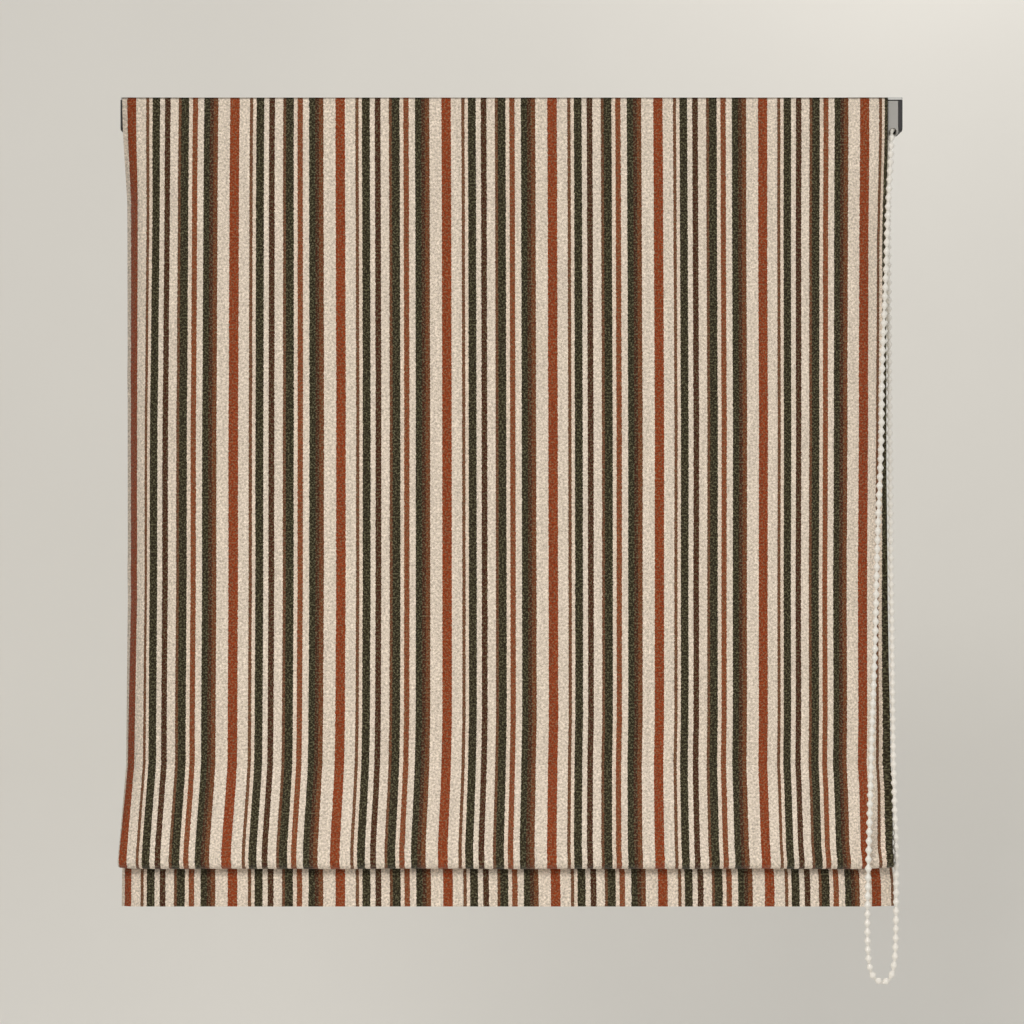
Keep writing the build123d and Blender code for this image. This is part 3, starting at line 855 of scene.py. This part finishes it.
def sewn(
    name,
    node,
    body,
    half_thick,
    half_wide,
    power,
    wall=0.0,
    lean=0.0,
    slot="lining_cloth",
    wrinkle=0.1,
):
    """A sleeve or tape along X in its node's place. A wall makes it hollow, power squares it."""
    low, high = box_mm(node)
    middle = (low + high) / 2
    count = math.ceil((high[0] - low[0]) / SEWN_PITCH)
    stations = [low[0] + (high[0] - low[0]) * i / count for i in range(count + 1)]
    rings = [(x, 0.0) for x in stations]
    if wall:
        rings += [(x, wall) for x in reversed(stations)]
    sides = 24
    points = []
    for x, inset in rings:
        gather = 0.6 * math.sin(x / 2.3 + 2 * math.sin(x / 13)) + 0.4 * math.sin(x / 5.1 + 1.3)
        for side in range(sides):
            turn = 2 * math.pi * side / sides
            y, z = oblong(half_thick - inset, half_wide - inset, power, turn)
            puff = wrinkle * gather * (0.5 + 0.5 * math.sin(2 * turn + x / 9))
            puff *= 0.3 if y < 0 else 1.0
            grow = 1 + puff / max(math.hypot(y, z), 1.0)
            y, z = y * grow, z * grow
            points.append(mm(x, middle[1] + y + z * lean, middle[2] + z - y * lean))
    faces = ring_faces(len(rings), sides, bool(wall))
    if wall:
        for up in (half_wide * 0.92, -half_wide * 0.92):
            y = middle[1] - half_thick * 0.5 + up * lean
            more, more_faces = stitches((low[0] + 1, high[0] - 1), y, middle[2], up)
            start = len(points)
            points.extend(more)
            faces.extend(tuple(start + corner for corner in face) for face in more_faces)
    piece = new_mesh(name, points, faces, slot, sharp=55.0)
    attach(piece, body)
    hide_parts(node)


for number in range(1, 5):
    sewn(f"sleeve_{number}", f"rod_pocket_{number}", f"rod_{number}", 2.8, 2.8, 1.0, wall=0.5)
FLAP_LEAN = 1.2 / 20
sewn("hem_sleeve", "hem_pocket", "rod_4", 1.95, 7.7, 0.35, wall=0.5, lean=FLAP_LEAN)
_, loop_thick, loop_wide = [(high - low) / 2 for low, high in zip(*box_mm("loop_strip"))]
for name, node, half_thick, half_wide in (
    ("tape_hooks", "hook_strip", 0.6, 7.0),
    ("tape_loops", "loop_strip", loop_thick, loop_wide),
):
    sewn(name, node, "head", half_thick, half_wide, 0.25, slot="tape", wrinkle=0.03)

CORD_RADIUS = 0.6
SHAFT_HEIGHT = -13.9
CORD_BEHIND = 6.6
SPOOL_MIDDLES = {"left": -208.1, "middle": -4.1, "right": 199.9}
# The cord's turns on its spool: how many, their steps and radius, where they start beside the
# spool's middle, and their pitch as a share of the cord's thickness
SPOOL_TURNS = 3
TURN_STEPS = 36
TURN_RADIUS = 6.6
TURN_START = 1.4
TURN_PITCH = 0.8


def tube_along(name, line, radius, slot, sides=10):
    """A braided cord as a mesh tube along close points in mm."""
    line = np.array(line, float)
    ways = np.gradient(line, axis=0)
    points = []
    for index, (place, way) in enumerate(zip(line, ways)):
        way = Vector(way).normalized()
        first = way.orthogonal() if index == 0 else first - way * first.dot(way)
        first.normalize()
        second = way.cross(first)
        for side in range(sides):
            turn = 2 * math.pi * side / sides
            bulge = radius * (1 + 0.05 * math.sin(3 * turn + index * 1.1))
            out = bulge * (math.cos(turn) * first + math.sin(turn) * second)
            points.append(mm(*(place + np.array(out))))
    faces = [face[::-1] for face in ring_faces(len(line), sides, False)]
    return new_mesh(name, points, faces, slot, sharp=60.0)


def lift_cord(side, x):
    """A lifting cord: its turns on the spool, a run down from the shaft, and its foot."""
    turns = []
    for step in range(SPOOL_TURNS * TURN_STEPS + 1):
        turn = 2 * math.pi * step / TURN_STEPS
        place = x + TURN_START + step / TURN_STEPS * (2 * CORD_RADIUS) * TURN_PITCH
        y, z = TURN_RADIUS * math.cos(turn), SHAFT_HEIGHT + TURN_RADIUS * math.sin(turn)
        turns.append((place, y, z))
    wound = tube_along(f"cord_wound_{side}", turns, CORD_RADIUS * 0.97, "cord")
    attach(wound, "drive")
    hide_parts(f"cord_turns_{side}")
    foot = box_mm(f"lift_cord_{side}")[0][2]
    runs = {"run": (SHAFT_HEIGHT, RODS_MM[2]), "foot": (RODS_MM[2], foot)}
    pieces = {}
    for part, (top, bottom) in runs.items():
        count = math.ceil((top - bottom) / 1.5)
        line = [(x, CORD_BEHIND, top + (bottom - top) * i / count) for i in range(count + 1)]
        piece = tube_along(f"cord_{part}_{side}", line, CORD_RADIUS, "cord")
        pieces[part] = piece, line
        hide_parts(f"lift_cord_{side}")
    run, line = pieces["run"]
    low = pieces["foot"][0]
    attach(run, "head")
    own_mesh(run)
    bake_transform(low)


for side, x in SPOOL_MIDDLES.items():
    lift_cord(side, x)


# Studio


# Lamps: name, place, size, power and colour
LAMPS = [
    ("key", (-0.9, -2.3, 1.2), 1.1, 41.0, (1.0, 0.965, 0.915)),
    ("fill", (1.9, -1.6, 0.2), 1.4, 5.0, (0.94, 0.97, 1.0)),
    ("back", (0.6, 1.1, 0.9), 0.9, 7.0, (1.0, 0.98, 0.95)),
]
# Upright cards that shade the cloth's top and its left edge, and that no camera sees: name, ends in
# X, place in Y, and ends in Z
FLAGS = [
    ("flag_top", (-1.7, 1.1), -1.02, (0.596, 0.736)),
    ("flag_side", (-0.33, -0.271), -0.06, (-0.62, 0.03)),
]
AIM = (0, 0, -0.28)
# The sweep: its floor's height, where its bend starts behind the part, the bend's radius, and how
# far it reaches to the sides, to the front and up
FLOOR = -1.1
BEND_START = 0.9
BEND_RADIUS = 0.5
SWEEP_SIDE = 3.5
SWEEP_FRONT = -3.0
SWEEP_TOP = 2.4


def stage_and_light():
    """A pale sweep of floor and backdrop, the flags, the lamps and a weak even light."""
    profile = [(SWEEP_FRONT, FLOOR), (BEND_START, FLOOR)]
    for step in range(1, 9):
        angle = math.pi / 2 * step / 8
        back = BEND_START + BEND_RADIUS * math.sin(angle)
        profile.append((back, FLOOR + BEND_RADIUS * (1 - math.cos(angle))))
    profile.append((BEND_START + BEND_RADIUS, SWEEP_TOP))
    points = [(x, y, z) for y, z in profile for x in (-SWEEP_SIDE, SWEEP_SIDE)]
    faces = [(2 * i, 2 * i + 1, 2 * i + 3, 2 * i + 2) for i in range(len(profile) - 1)]
    mesh = bpy.data.meshes.new("sweep")
    mesh.from_pydata(points, [], faces)
    mesh.polygons.foreach_set("use_smooth", [True] * len(mesh.polygons))
    shader = Shader("sweep")
    place = shader.add("NewGeometry").outputs["Position"]
    cloud = shader.noise(place, 3.0, 3.0, 0.5)
    tone = shader.remap(cloud, 0.3, 0.7, 0.985, 1.01)
    shader.plug("Base Color", shader.times(linear(232, 230, 225), tone))
    shader.set(roughness=0.9)
    mesh.materials.append(shader.material)
    sweep = bpy.data.objects.new("sweep", mesh)
    bpy.context.collection.objects.link(sweep)
    for name, (left, right), y, (low, high) in FLAGS:
        corners = [(left, y, low), (right, y, low), (right, y, high), (left, y, high)]
        mesh = bpy.data.meshes.new(name)
        mesh.from_pydata(corners, [], [(0, 1, 2, 3)])
        mesh.materials.append(materials["dark_plastic"])
        flag = bpy.data.objects.new(name, mesh)
        bpy.context.collection.objects.link(flag)
        flag.visible_camera = flag.visible_glossy = False
    world = bpy.data.worlds.new("studio")
    bpy.context.scene.world = world
    world.use_nodes = True
    background = world.node_tree.nodes["Background"]
    background.inputs["Color"].default_value = (1.0, 0.985, 0.96, 1.0)
    background.inputs["Strength"].default_value = 0.5
    for name, place, size, power, color in LAMPS:
        lamp = bpy.data.lights.new(name, "AREA")
        lamp.size = size
        lamp.energy = power
        lamp.color = color
        lamp_object = bpy.data.objects.new(name, lamp)
        bpy.context.collection.objects.link(lamp_object)
        lamp_object.location = place
        aim = Vector(AIM) - Vector(place)
        lamp_object.rotation_euler = aim.to_track_quat("-Z", "Y").to_euler()


stage_and_light()
